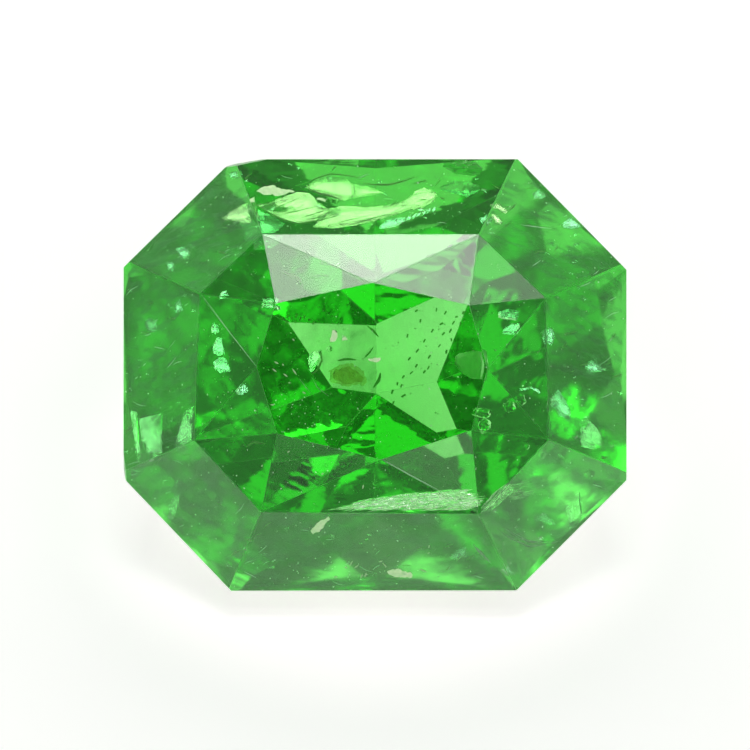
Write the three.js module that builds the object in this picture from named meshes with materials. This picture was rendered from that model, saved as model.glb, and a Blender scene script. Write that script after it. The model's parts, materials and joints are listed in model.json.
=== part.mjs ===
// A loose tsavorite garnet, cut as a cut-cornered rectangular modified brilliant.
//
// The stone is laid out face up: the table faces +Z, the upper edge of the girdle lies in the
// plane z = 0, X runs along the length and Y across the width. Every facet is a plane, and the
// stone is the space that all the planes leave between them, as it is when a cutter grinds one
// facet after another. At the end the stone is laid on the pavilion facet that it rests on.
// Lengths are millimetres. Angles are degrees: an azimuth is the way that a facet faces, counted
// from +X towards +Y, and a slope is how far it is tilted from level.

import * as THREE from 'three';
import { ConvexGeometry } from 'three/addons/geometries/ConvexGeometry.js';

const CROWN_HEIGHT = 0.96;
const STEP_HEIGHT = 0.72;
const GIRDLE_THICKNESS = 0.16;
const CULET = { x: 0.02, y: -0.23, depth: 2.92 };

// The eight sides, from the right round past the top. reach is how far the girdle edge is from
// the axis. crown is the slope of the crown main, and twist is how far that main is turned out
// of line with its side. tier is the slope of the steep facet under the girdle, and drop is how
// far down that facet's lowest corner is.
const SIDES = [
  { azimuth: 0, reach: 3.1, crown: 36, twist: 1.2, tier: 61, drop: 0.5 },
  { azimuth: 44.5, reach: 3.12, crown: 35.9, twist: 1.9, tier: 60, drop: 0.55 },
  { azimuth: 90, reach: 2.66, crown: 37.5, twist: 0, tier: 62, drop: 0.79 },
  { azimuth: 134.5, reach: 3.12, crown: 38, twist: -0.9, tier: 60, drop: 0.5 },
  { azimuth: 180, reach: 3.1, crown: 38.2, twist: -2, tier: 61, drop: 0.55 },
  { azimuth: 223.7, reach: 3.12, crown: 37, twist: -0.8, tier: 60, drop: 0.4 },
  { azimuth: 270, reach: 2.66, crown: 36.6, twist: -0.5, tier: 60, drop: 1 },
  { azimuth: 315, reach: 3.11, crown: 35.3, twist: 2, tier: 60, drop: 0.55 },
];

// The table's corners as x and y, one above the middle of each side, in the order of SIDES.
const TABLE_CORNERS = [
  [1.374, 0.077],
  [1.152, 0.85],
  [-0.031, 1.125],
  [-1.214, 0.872],
  [-1.448, 0.102],
  [-1.196, -0.716],
  [0.068, -1.032],
  [1.177, -0.675],
];

// Two pavilion halves meet at the lowest corner of each tier facet, turned to either side.
const HALF_SLOPE = 48;
const HALF_TURN = 9;

// The pavilion mains, in the order of cutting. The first ones meet at the culet. Each later one
// is ground down until it reaches a point, given as x and y, of the facets already there.
const REST_MAIN = { azimuth: 270, slope: 44 };
const CULET_MAINS = [
  { azimuth: 24, slope: 31.5 },
  { azimuth: 358, slope: 31.5 },
  REST_MAIN,
  { azimuth: 204, slope: 38 },
  { azimuth: 158.8, slope: 34.3 },
];
const RIGHT_MEET = [0.77, -0.085];
const OUTER_MAINS = [
  { azimuth: 9.3, slope: 40.4, to: RIGHT_MEET },
  { azimuth: 5.5, slope: 40.9, to: RIGHT_MEET },
  { azimuth: 45, slope: 42, to: [1.2, 0.9] },
  { azimuth: 137, slope: 40.5, to: [-0.95, 0.65] },
  { azimuth: 174, slope: 41, to: [-0.57, -0.1] },
  { azimuth: 225, slope: 42.5, to: [-0.9, -0.75] },
  { azimuth: 319, slope: 43.9, to: [0.77, -0.72] },
];

// Two corners of the girdle are chipped away along a flat break.
const CHIPS = [
  { azimuth: 101.2, slope: 84, reach: 2.868 },
  { azimuth: 186.7, slope: 82, reach: 3.194 },
];

const STONE_COLOUR = 0x3fa048;
const STONE_ROUGHNESS = 0.03;

// Rounding may leave a corner this far outside a facet, and corners closer than this are one.
const ON_PLANE = 1e-7;
const SAME_CORNER = 0.012;

const FACES_UP = 1;
const FACES_DOWN = -1;
const UP = new THREE.Vector3(0, 0, 1);
const DOWN = new THREE.Vector3(0, 0, -1);

function facetPlane({ azimuth, slope }, facing, point) {
  const turn = THREE.MathUtils.degToRad(azimuth);
  const tilt = THREE.MathUtils.degToRad(slope);
  const outward = new THREE.Vector3(
    Math.cos(turn) * Math.sin(tilt),
    Math.sin(turn) * Math.sin(tilt),
    facing * Math.cos(tilt),
  );
  return new THREE.Plane().setFromNormalAndCoplanarPoint(outward, point);
}

function crownPlaneThrough(a, b, c) {
  const plane = new THREE.Plane().setFromCoplanarPoints(a, b, c);
  return plane.normal.z < 0 ? plane.negate() : plane;
}

function besideAxis(azimuth, reach, height) {
  const turn = THREE.MathUtils.degToRad(azimuth);
  return new THREE.Vector3(reach * Math.cos(turn), reach * Math.sin(turn), height);
}

// The point that three planes share, or null where two of them are parallel.
function meetPoint(a, b, c) {
  const across = new THREE.Vector3().crossVectors(b.normal, c.normal);
  const spread = a.normal.dot(across);
  if (Math.abs(spread) < ON_PLANE) {
    return null;
  }
  const point = across.multiplyScalar(-a.constant);
  point.addScaledVector(new THREE.Vector3().crossVectors(c.normal, a.normal), -b.constant);
  point.addScaledVector(new THREE.Vector3().crossVectors(a.normal, b.normal), -c.constant);
  return point.divideScalar(spread);
}

// Trapezoids that rise from the girdle's upper edge.
function crownMains() {
  return SIDES.map(({ azimuth, reach, crown, twist }) => {
    const facet = { azimuth: azimuth + twist, slope: crown };
    return facetPlane(facet, FACES_UP, besideAxis(azimuth, reach, 0));
  });
}

// Triangles between the mains and the table: one above each main, and one from each corner of
// the mains up to the table edge beside it.
function crownStars(mains) {
  const step = new THREE.Plane(UP, -STEP_HEIGHT);
  const table = TABLE_CORNERS.map(([x, y]) => new THREE.Vector3(x, y, CROWN_HEIGHT));
  return mains.flatMap((main, i) => {
    const next = (i + 1) % mains.length;
    const start = meetPoint(mains.at(i - 1), main, step);
    const end = meetPoint(main, mains[next], step);
    return [
      crownPlaneThrough(start, end, table[i]),
      crownPlaneThrough(end, table[next], table[i]),
    ];
  });
}

function girdleFlats() {
  return SIDES.map(({ azimuth, reach }) => {
    const upright = { azimuth, slope: 90 };
    return facetPlane(upright, FACES_UP, besideAxis(azimuth, reach, 0));
  });
}

// Steep facets that fall from the girdle's lower edge.
function pavilionTier() {
  return SIDES.map(({ azimuth, reach, tier }) => {
    const facet = { azimuth, slope: tier };
    return facetPlane(facet, FACES_DOWN, besideAxis(azimuth, reach, -GIRDLE_THICKNESS));
  });
}

function pavilionHalves() {
  return SIDES.flatMap(({ azimuth, reach, tier, drop }) => {
    const inset = drop / Math.tan(THREE.MathUtils.degToRad(tier));
    const corner = besideAxis(azimuth, reach - inset, -GIRDLE_THICKNESS - drop);
    return [-HALF_TURN, HALF_TURN].map((turn) => {
      const facet = { azimuth: azimuth + turn, slope: HALF_SLOPE };
      return facetPlane(facet, FACES_DOWN, corner);
    });
  });
}

function heightAt(plane, x, y) {
  return -(plane.normal.x * x + plane.normal.y * y + plane.constant) / plane.normal.z;
}

function pavilionMains() {
  const culet = new THREE.Vector3(CULET.x, CULET.y, -CULET.depth);
  const cut = CULET_MAINS.map((facet) => facetPlane(facet, FACES_DOWN, culet));
  for (const { to: [x, y], ...facet } of OUTER_MAINS) {
    const surface = Math.max(...cut.map((plane) => heightAt(plane, x, y)));
    cut.push(facetPlane(facet, FACES_DOWN, new THREE.Vector3(x, y, surface)));
  }
  return cut;
}

function chipBreaks() {
  return CHIPS.map(({ azimuth, slope, reach }) => {
    const facet = { azimuth, slope };
    return facetPlane(facet, FACES_UP, besideAxis(azimuth, reach, 0));
  });
}

// Every point where three facets meet and that no other facet cuts off.
function stoneCorners(planes) {
  const corners = [];
  const isKept = (point) => planes.every((plane) => plane.distanceToPoint(point) < ON_PLANE);
  const isNew = (point) => corners.every((corner) => corner.distanceTo(point) > SAME_CORNER);
  planes.forEach((a, i) => {
    planes.slice(i + 1).forEach((b, j) => {
      planes.slice(i + j + 2).forEach((c) => {
        const point = meetPoint(a, b, c);
        if (point && isKept(point) && isNew(point)) {
          corners.push(point);
        }
      });
    });
  });
  return corners;
}

function faceUpStone() {
  const mains = crownMains();
  const planes = [
    new THREE.Plane(UP, -CROWN_HEIGHT),
    ...crownStars(mains),
    ...mains,
    ...girdleFlats(),
    ...pavilionTier(),
    ...pavilionHalves(),
    ...pavilionMains(),
    ...chipBreaks(),
  ];
  return new ConvexGeometry(stoneCorners(planes));
}

// Tips the stone on to its rest facet and centres it above the origin, just touching z = 0.
function lieDown(geometry) {
  const restPlane = facetPlane(REST_MAIN, FACES_DOWN, new THREE.Vector3());
  geometry.applyQuaternion(new THREE.Quaternion().setFromUnitVectors(restPlane.normal, DOWN));
  geometry.computeBoundingBox();
  const centre = geometry.boundingBox.getCenter(new THREE.Vector3());
  return geometry.translate(-centre.x, -centre.y, -geometry.boundingBox.min.z);
}

function tsavorite() {
  const material = new THREE.MeshStandardMaterial({
    color: STONE_COLOUR,
    roughness: STONE_ROUGHNESS,
    metalness: 0,
    flatShading: true,
  });
  const mesh = new THREE.Mesh(lieDown(faceUpStone()), material);
  mesh.name = 'tsavorite';
  return mesh;
}

const part = new THREE.Group();
part.add(tsavorite());

export default part;
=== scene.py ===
"""A loose tsavorite garnet on a plain pale floor.

Each operator makes one piece of the scene, or a group of like ones. The stone stands for the
frame's only node. What lies inside it is placed by where the picture shows it through the crown.
"""

import json  # noqa: E402
import math  # noqa: E402
import random  # noqa: E402

import bmesh  # noqa: E402
import bpy  # noqa: E402
from bpy.props import FloatProperty, FloatVectorProperty, IntProperty, PointerProperty  # noqa: E402
from bpy.types import Operator, Panel, PropertyGroup  # noqa: E402
from mathutils import Matrix, Vector, noise  # noqa: E402


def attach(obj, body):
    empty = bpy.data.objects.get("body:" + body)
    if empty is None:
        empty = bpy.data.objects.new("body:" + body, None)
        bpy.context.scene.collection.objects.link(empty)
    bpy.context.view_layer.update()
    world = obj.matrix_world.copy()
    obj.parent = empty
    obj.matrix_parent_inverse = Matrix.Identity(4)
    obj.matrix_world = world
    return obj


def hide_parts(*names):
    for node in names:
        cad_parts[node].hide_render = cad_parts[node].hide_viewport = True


bl_info = {
    "name": "Tsavorite garnet",
    "version": (1, 0, 0),
    "blender": (4, 5, 0),
    "location": "3D View > Sidebar > Garnet",
    "description": "Builds a loose tsavorite garnet, what lies inside it, and its floor and lights",
    "category": "Object",
}

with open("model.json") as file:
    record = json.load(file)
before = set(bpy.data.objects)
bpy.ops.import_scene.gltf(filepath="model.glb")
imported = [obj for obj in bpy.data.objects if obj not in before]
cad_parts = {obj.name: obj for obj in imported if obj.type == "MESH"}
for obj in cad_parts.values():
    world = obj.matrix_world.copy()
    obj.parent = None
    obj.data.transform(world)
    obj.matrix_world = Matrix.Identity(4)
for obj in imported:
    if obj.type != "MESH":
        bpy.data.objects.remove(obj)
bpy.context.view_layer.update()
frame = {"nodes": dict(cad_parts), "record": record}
NODE = "tsavorite"

MM = 0.001
GARNET_IOR = 1.74
QUARTZ_IOR = 1.55
AIR_IOR = 1.0

# How the picture shows the stone: the scale and middle of its outline, and how far the lens is.
PIXELS_PER_MM = 81.13
PIXEL = MM / PIXELS_PER_MM
OUTLINE_MIDDLE = (375.5, 374.25)
LENS_DISTANCE = 0.1027
LENS_LENGTH_MM = 400.0
SENSOR_MM = 36.0

# The picture's columns and rows that the crown's mains reach.
MAIN_COLUMNS = (125, 627)
MAIN_ROWS = (158, 590)

# How many degrees the facets of a kind lean away from the way that the table faces.
STARS_FROM, MAINS_FROM, MAINS_TO, CROWN_TO = 5, 33, 45, 60
GIRDLE_FROM, GIRDLE_TO, WINDOW_FROM = 80, 100, 130
# How far along or across the stone a facet faces, from -1 to 1.
TOP_MAIN_ACROSS, BESIDE_WINDOW_ALONG = 0.55, -0.6


def hex_colour(code):
    """A sRGB hex colour as linear red, green, blue and alpha."""
    channels = [int(code[i:i + 2], 16) / 255 for i in (0, 2, 4)]
    linear = [c / 12.92 if c <= 0.04045 else ((c + 0.055) / 1.055) ** 2.4 for c in channels]
    return (*linear, 1.0)


def plain_mesh(shape, name):
    """A bmesh as a mesh. The bmesh is used up."""
    mesh = bpy.data.meshes.new(name)
    shape.to_mesh(mesh)
    shape.free()
    return mesh


def in_scene(name, data):
    """A new object of the scene."""
    thing = bpy.data.objects.new(name, data)
    bpy.context.scene.collection.objects.link(thing)
    return thing


# The stone's own directions and planes, read from the frame.

def table_axes():
    """The stone's length, its width and the way its table faces."""
    mounts = frame["record"]["mounts"]
    table = next(mount for mount in mounts if mount["name"] == "table")
    out = Vector(table["axis"]).normalized()
    length = Vector((1, 0, 0))
    return length, out.cross(length), out


ALONG, ACROSS, OUT = table_axes()


def merged_stone():
    """The frame's loose triangles, merged into one closed shell of flat facets."""
    shell = bmesh.new()
    shell.from_mesh(frame["nodes"][NODE].data)
    bmesh.ops.remove_doubles(shell, verts=shell.verts, dist=0.001 * MM)
    bmesh.ops.dissolve_limit(
        shell, angle_limit=math.radians(0.25), verts=shell.verts, edges=shell.edges)
    for face in shell.faces:
        face.smooth = False
    return shell


def facet_planes():
    """Each facet's outward normal and its distance from the origin."""
    shell = merged_stone()
    planes = [(face.normal.copy(), face.normal.dot(face.calc_center_median()))
              for face in shell.faces]
    shell.free()
    return planes


def outline_middle():
    """The middle of the stone's outline, at the height of the girdle's upper edge."""
    points = [vertex.co for vertex in frame["nodes"][NODE].data.vertices]
    across = [point.dot(ACROSS) for point in points]
    right = max(point.x for point in points)
    out = max(point.dot(OUT) for point in points if point.x > right - 0.001 * MM)
    return ACROSS * (min(across) + max(across)) / 2 + OUT * out


PLANES = facet_planes()
MIDDLE = outline_middle()
LENS = MIDDLE + OUT * LENS_DISTANCE


def lean_of(normal):
    """How many degrees a facet leans away from the way that the table faces."""
    return math.degrees(math.acos(min(1.0, normal.dot(OUT))))


def is_main(normal):
    """Whether a facet is one of the crown's eight large sloping ones."""
    return MAINS_FROM < lean_of(normal) < MAINS_TO


def is_over_feather(normal):
    """Whether a facet is the crown main at the top of the picture."""
    return is_main(normal) and normal.dot(ACROSS) > TOP_MAIN_ACROSS


def bent_inside(direction, normal):
    """A direction of light after it has entered the garnet through a facet."""
    cosine = -direction.dot(normal)
    ratio = 1 / GARNET_IOR
    bent = math.sqrt(1 - ratio ** 2 * (1 - cosine ** 2))
    return direction * ratio + normal * (ratio * cosine - bent)


def look_inside(px, py):
    """Where a look at a pixel meets the stone, the way it goes on inside, and that facet."""
    right = (px - OUTLINE_MIDDLE[0]) * PIXEL
    up = (OUTLINE_MIDDLE[1] - py) * PIXEL
    look = (MIDDLE + ALONG * right + ACROSS * up - LENS).normalized()
    entry, normal = max(
        ((offset - normal.dot(LENS)) / normal.dot(look), normal)
        for normal, offset in PLANES if normal.dot(look) < 0)
    return LENS + look * entry, bent_inside(look, normal), normal


def seen_inside(px, py, depth_mm):
    """The point inside the stone that shows at a pixel, so deep behind the crown's surface."""
    entry, inward, _ = look_inside(px, py)
    return entry + inward * (depth_mm * MM)


# Node trees.

CLEAR = {"Base Color": (1.0, 1.0, 1.0, 1.0), "Transmission Weight": 1.0}


def add_node(tree, kind, given):
    """Adds a node. Given are its properties and inputs, as values or as sockets to link."""
    node = tree.nodes.new(kind)
    for name, value in given.items():
        if isinstance(value, bpy.types.NodeSocket):
            tree.links.new(value, node.inputs[name])
        elif isinstance(name, str) and hasattr(node, name):
            setattr(node, name, value)
        else:
            node.inputs[name].default_value = value
    return node


def empty_tree(owner):
    """The emptied node tree of a material or a world."""
    owner.use_nodes = True
    owner.node_tree.nodes.clear()
    return owner.node_tree


def new_material(name):
    """A material and its tree, which is empty."""
    material = bpy.data.materials.new(name)
    return material, empty_tree(material)


def surfaced(material, given, volume=None):
    """Gives a material its surface and what fills it, and returns it."""
    tree = material.node_tree
    surface = add_node(tree, "ShaderNodeBsdfPrincipled", given)
    ends = {"Surface": surface.outputs[0]}
    if volume:
        ends["Volume"] = volume.outputs[0]
    add_node(tree, "ShaderNodeOutputMaterial", ends)
    return material


def object_noise(tree, millimetres, detail=2.0, stretch=(1, 1, 1)):
    """Noise whose largest features measure so many millimetres on the object."""
    place = add_node(tree, "ShaderNodeTexCoord", {})
    mapping = add_node(tree, "ShaderNodeMapping",
                       {"Scale": stretch, "Vector": place.outputs["Object"]})
    return add_node(tree, "ShaderNodeTexNoise", {
        "Scale": 1 / (millimetres * MM), "Detail": detail, "Vector": mapping.outputs[0],
    }).outputs["Fac"]


def mottled(name, millimetres, detail, dark, light, given):
    """A material whose colour drifts between two, in a mottle of this size."""
    material, tree = new_material(name)
    tint = add_node(tree, "ShaderNodeMix", {
        "data_type": "RGBA", 6: dark, 7: light, 0: object_noise(tree, millimetres, detail)})
    return surfaced(material, {**given, "Base Color": tint.outputs[2]})


def polished_garnet(settings):
    """Grossular garnet, faceted and polished.

    It gives the eye a wet, glassy surface, a body that is yellow green where it is thin and deep
    green where light crosses it twice, and facet junctions and a girdle that are a little dull.
    """
    material, tree = new_material("Polished_grossular_garnet")
    fine = object_noise(tree, 0.35, 4.0)
    wear = add_node(tree, "ShaderNodeAttribute", {"attribute_name": "wear"})
    polish = add_node(tree, "ShaderNodeMapRange", {
        "To Min": settings.polish * 0.4, "To Max": settings.polish * 1.6, "Value": fine})
    rough = add_node(tree, "ShaderNodeMath", {
        "operation": "ADD", 0: polish.outputs[0], 1: wear.outputs["Fac"]})
    lap = object_noise(tree, settings.wave_size / MM, 1.2, (0.7, 1.5, 1.1))
    wave = add_node(tree, "ShaderNodeAttribute", {"attribute_name": "wave"})
    height = add_node(tree, "ShaderNodeMath", {
        "operation": "MULTIPLY", 0: lap, 1: wave.outputs["Fac"]})
    bump = add_node(tree, "ShaderNodeBump", {
        "Strength": 1.0, "Distance": settings.wave_height, "Height": height.outputs[0]})
    strongest = max(settings.absorption)
    volume = add_node(tree, "ShaderNodeVolumeAbsorption", {
        "Color": (*[1 - a / strongest for a in settings.absorption], 1.0),
        "Density": strongest,
    })
    return surfaced(material, {
        **CLEAR, "IOR": settings.ior, "Roughness": rough.outputs[0], "Normal": bump.outputs[0],
    }, volume)


def pale_crystal(name, dark, light):
    """Calcite grains, dust and polishing powder, which look whitish against the garnet, and painted
    highlights.
    """
    return mottled(name, 0.05, 5.0, hex_colour(dark), hex_colour(light),
                   {"Roughness": 0.35, "IOR": 1.1})


def clear_crystal():
    """Rounded quartz grains: clear, with rims that turn the light away as it leaves the garnet."""
    material, tree = new_material("Included_clear_quartz")
    rough = add_node(tree, "ShaderNodeMapRange", {
        "To Min": 0.02, "To Max": 0.25, "Value": object_noise(tree, 0.05, 2.0)})
    return surfaced(material, {
        **CLEAR, "IOR": QUARTZ_IOR / GARNET_IOR, "Roughness": rough.outputs[0]})


def air_film(name, ripple_mm, height_mm, roughness, sheen):
    """The gap of a crack: a half mirror where light meets it flat on, and clear elsewhere.

    The gap is thin enough to give the mirrored light a colour of its own.
    """
    material, tree = new_material(name)
    ripple = object_noise(tree, ripple_mm, 3.0, (1.0, 2.5, 1.0))
    bump = add_node(tree, "ShaderNodeBump", {
        "Strength": 1.0, "Distance": height_mm * MM, "Height": ripple})
    return surfaced(material, {
        **CLEAR, "IOR": AIR_IOR / GARNET_IOR, "Roughness": roughness,
        "Specular Tint": hex_colour(sheen), "Normal": bump.outputs[0]})


def stained_film():
    """A crack that iron has stained: a clear film that tints what lies behind it olive brown."""
    return mottled("Iron_stained_film", 0.1, 3.0, hex_colour("d2c488"), hex_colour("eef4d0"),
                   {"IOR": 1.03, "Roughness": 0.1, "Transmission Weight": 1.0})


def dark_needle_and_painted_shade():
    """Short tremolite needles, dark green against the stone's bright middle, and painted shade on
    crack rims.
    """
    return mottled("Included_dark_needle", 0.1, 2.0, hex_colour("48a040"), hex_colour("90d878"),
                   {"Roughness": 0.4, "IOR": 1.1})


def grey_card(code):
    """Matt grey card, which takes away some of the light that would come from behind it."""
    level = hex_colour(code)
    return mottled("Grey_matt_card_" + code, 4.0, 2.0, level, (*[c * 1.1 for c in level[:3]], 1.0),
                   {"Roughness": 0.9, "Specular IOR Level": 0.0})


def matt_floor(settings):
    """A thin sheet of white matt card on a light table, with the faint mottle of its pulp.

    The card also glows with a painted pool of pinkish light round and under the stone, which
    lightens its shadow.
    """
    material, tree = new_material("White_matt_card_with_painted_glow")
    card_colour = settings.floor_colour
    tint = add_node(tree, "ShaderNodeMix", {
        "data_type": "RGBA", 6: (*card_colour, 1.0), 0: object_noise(tree, 1.5, 4.0),
        7: (*[min(1.0, c * 1.015) for c in card_colour], 1.0)})
    place = add_node(tree, "ShaderNodeTexCoord", {})
    from_stone = add_node(tree, "ShaderNodeVectorMath",
                          {"operation": "LENGTH", 0: place.outputs["Object"]})
    away = add_node(tree, "ShaderNodeMapRange", {
        "interpolation_type": "SMOOTHSTEP", "From Min": settings.painted_pool_reach[0],
        "From Max": settings.painted_pool_reach[1], "Value": from_stone.outputs["Value"]})
    # A painted pool of light round the stone, which fades out into the card's even glow.
    painted_pool = [c * settings.painted_pool_glow for c in settings.painted_pool_colour]
    glow = add_node(tree, "ShaderNodeMix", {
        "data_type": "RGBA", 6: (*painted_pool, 1.0), 7: (*[settings.floor_glow] * 3, 1.0),
        0: away.outputs[0]})
    return surfaced(material, {
        "Roughness": 0.8, "Specular IOR Level": 0.1, "Emission Strength": 1.0,
        "Base Color": tint.outputs[2], "Emission Color": glow.outputs[2]})


def droplet_veil():
    """A healed crack full of fine droplets: streaks, some pale where the droplets send back the
    stone's own green light, and some dark where they hold it back.
    """
    material, tree = new_material("Healed_veil_of_droplets")
    streak = object_noise(tree, 0.18, 6.0, (0.5, 2.0, 1.0))
    cloud = object_noise(tree, 0.45, 3.0, (1.3, 0.6, 1.0))
    milk = add_node(tree, "ShaderNodeMix", {
        "data_type": "RGBA", 6: hex_colour("082c10"), 7: hex_colour("70ff84"), 0: cloud})
    cover = add_node(tree, "ShaderNodeMapRange", {
        "From Min": 0.45, "From Max": 0.68, "To Min": 0.0, "To Max": 0.4, "Value": streak})
    return surfaced(material, {
        "Roughness": 0.9, "Specular IOR Level": 0.0, "Base Color": milk.outputs[2],
        "Alpha": cover.outputs[0]})


# Geometry node trees.

# In radians.
FULL_TURN = 6.28


def geometry_tree(name, inputs):
    """A geometry node tree with named inputs, those inputs' sockets, and its end node."""
    tree = bpy.data.node_groups.new(name, "GeometryNodeTree")
    tree.interface.new_socket("Geometry", in_out="INPUT", socket_type="NodeSocketGeometry")
    for label, kind in inputs.items():
        tree.interface.new_socket(label, in_out="INPUT", socket_type="NodeSocket" + kind)
    tree.interface.new_socket("Geometry", in_out="OUTPUT", socket_type="NodeSocketGeometry")
    return tree, tree.nodes.new("NodeGroupInput").outputs, tree.nodes.new("NodeGroupOutput")


def run_tree(tree, mesh, values, name):
    """Runs a geometry node tree on a mesh and returns what it makes as a plain mesh."""
    carrier = in_scene(name, mesh)
    modifier = carrier.modifiers.new(name, "NODES")
    modifier.node_group = tree
    for item in tree.interface.items_tree:
        if item.in_out == "INPUT" and item.name in values:
            modifier[item.identifier] = values[item.name]
    bpy.context.view_layer.update()
    depsgraph = bpy.context.evaluated_depsgraph_get()
    made = bpy.data.meshes.new_from_object(carrier.evaluated_get(depsgraph))
    carrier.modifiers.remove(modifier)
    bpy.data.objects.remove(carrier)
    made.name = name
    return made


def random_vector(tree, low, high, seed, offset=0):
    """A random vector for each point, different for each offset of the seed."""
    shifted = add_node(tree, "ShaderNodeMath", {"operation": "ADD", 0: seed, 1: offset})
    return add_node(tree, "FunctionNodeRandomValue", {
        "data_type": "FLOAT_VECTOR", 0: low, 1: high, "Seed": shifted.outputs[0]}).outputs[0]


def place_grains(tree, points, shape, turn, size, material, end):
    """Puts a shape on each point, makes it real geometry with its material, and ends the tree."""
    placed = add_node(tree, "GeometryNodeInstanceOnPoints", {
        "Points": points, "Instance": shape, "Rotation": turn, "Scale": size})
    real = add_node(tree, "GeometryNodeRealizeInstances", {"Geometry": placed.outputs[0]})
    made = add_node(tree, "GeometryNodeSetMaterial",
                    {"Geometry": real.outputs[0], "Material": material})
    tree.links.new(made.outputs[0], end.inputs[0])


def speck_tree():
    """Scatters grains through a closed convex body, in clouds and clear of its surface."""
    tree, given, end = geometry_tree("Specks_in_clouds", {
        "Count": "Int", "Smallest": "Float", "Largest": "Float", "Margin": "Float",
        "Cloud size": "Float", "Cloud limit": "Float", "Seed": "Int", "Material": "Material"})
    body = given["Geometry"]
    box = add_node(tree, "GeometryNodeBoundBox", {"Geometry": body}).outputs
    spread = random_vector(tree, box["Min"], box["Max"], given["Seed"])
    points = add_node(tree, "GeometryNodePoints", {"Count": given["Count"], "Position": spread})
    place = add_node(tree, "GeometryNodeInputPosition", {}).outputs[0]
    normal = add_node(tree, "GeometryNodeInputNormal", {}).outputs[0]
    nearest = add_node(tree, "GeometryNodeProximity", {
        "target_element": "FACES", "Target": body, "Source Position": place})
    outward = add_node(tree, "GeometryNodeSampleNearestSurface", {
        "data_type": "FLOAT_VECTOR", "Mesh": body, "Value": normal, "Sample Position": place})
    gap = add_node(tree, "ShaderNodeVectorMath", {
        "operation": "SUBTRACT", 0: nearest.outputs["Position"], 1: place})
    depth = add_node(tree, "ShaderNodeVectorMath", {
        "operation": "DOT_PRODUCT", 0: gap.outputs[0], 1: outward.outputs[0]})
    cloud_scale = add_node(tree, "ShaderNodeMath",
                           {"operation": "DIVIDE", 0: 1.0, 1: given["Cloud size"]})
    cloud = add_node(tree, "ShaderNodeTexNoise", {
        "Detail": 2.0, "Vector": place, "Scale": cloud_scale.outputs[0]})
    shallow, clear = (
        add_node(tree, "FunctionNodeCompare", {"operation": "LESS_THAN", 0: value, 1: given[limit]})
        for value, limit in ((depth.outputs["Value"], "Margin"),
                             (cloud.outputs[0], "Cloud limit")))
    dropped = add_node(tree, "FunctionNodeBooleanMath", {
        "operation": "OR", 0: shallow.outputs[0], 1: clear.outputs[0]})
    kept = add_node(tree, "GeometryNodeDeleteGeometry", {
        "domain": "POINT", "Geometry": points.outputs[0], "Selection": dropped.outputs[0]})
    share = add_node(tree, "FunctionNodeRandomValue",
                     {"data_type": "FLOAT", "Seed": given["Seed"]})
    rare = add_node(tree, "ShaderNodeMath", {"operation": "POWER", 1: 4.0, 0: share.outputs[1]})
    size = add_node(tree, "ShaderNodeMapRange", {
        "Value": rare.outputs[0], "To Min": given["Smallest"], "To Max": given["Largest"]})
    uneven = random_vector(tree, (0.6, 0.6, 0.6), (1.0, 1.0, 1.8), given["Seed"], 11)
    scale = add_node(tree, "ShaderNodeVectorMath", {
        "operation": "SCALE", 0: uneven, "Scale": size.outputs[0]})
    turn = random_vector(tree, (0, 0, 0), [FULL_TURN] * 3, given["Seed"], 23)
    grain = add_node(tree, "GeometryNodeMeshIcoSphere", {"Radius": 1.0, "Subdivisions": 1})
    place_grains(tree, kept.outputs[0], grain.outputs[0], turn, scale.outputs[0],
                 given["Material"], end)
    return tree


def rod_tree():
    """Scatters rods over a sheet. They lie along one direction, give or take a small turn."""
    tree, given, end = geometry_tree("Rods_on_a_sheet", {
        "Spacing": "Float", "Density": "Float", "Length": "Float", "Width": "Float",
        "Direction": "Vector", "Turn": "Float", "Seed": "Int", "Material": "Material"})
    points = add_node(tree, "GeometryNodeDistributePointsOnFaces", {
        "distribute_method": "POISSON", "Mesh": given["Geometry"],
        "Distance Min": given["Spacing"], "Density Max": given["Density"], "Seed": given["Seed"]})
    along = add_node(tree, "FunctionNodeAlignRotationToVector",
                     {"axis": "Z", "Vector": given["Direction"]})
    least, most = (
        add_node(tree, "ShaderNodeVectorMath", {
            "operation": "SCALE", 0: (way, way, way), "Scale": given["Turn"]}).outputs[0]
        for way in (-1, 1))
    turn = add_node(tree, "FunctionNodeRotateRotation", {
        "rotation_space": "LOCAL", "Rotation": along.outputs[0],
        "Rotate By": random_vector(tree, least, most, given["Seed"])})
    size = add_node(tree, "ShaderNodeCombineXYZ",
                    {"X": given["Width"], "Y": given["Width"], "Z": given["Length"]})
    uneven = random_vector(tree, (0.5, 0.5, 0.35), (1.2, 1.2, 1.0), given["Seed"], 7)
    scale = add_node(tree, "ShaderNodeVectorMath", {
        "operation": "MULTIPLY", 0: size.outputs[0], 1: uneven})
    rod = add_node(tree, "GeometryNodeMeshIcoSphere", {"Radius": 0.5, "Subdivisions": 1})
    place_grains(tree, points.outputs[0], rod.outputs[0], turn.outputs[0], scale.outputs[0],
                 given["Material"], end)
    return tree


# Meshes.

# Points closer than this are one.
SAME_SPOT = 1e-5 * MM
# Noise vectors come out different in each run unless this start is set.
NOISE_SEED = 5
# A plate has so many rows, and a column to about so many pixels, of this number at least.
PLATE_ROWS, PLATE_STEP, LEAST_COLUMNS = 4, 2.5, 4
# How many pixels the waves of a ragged rim are long.
RIM_WAVE = 4
# How thick a crack is and how deep at least, in millimetres.
GAP_THICKNESS, LEAST_DEPTH = 0.008, 0.02
# How far the under side and the top of a pit's powder stand over the crown's surface, and how
# much the top swells, in millimetres. The last value is how ragged the rim is, in pixels.
PIT_FLOOR, PIT_RISE, PIT_SWELL = 0.001, 0.004, 0.003
PIT_RAGGED = 1.8
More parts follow.
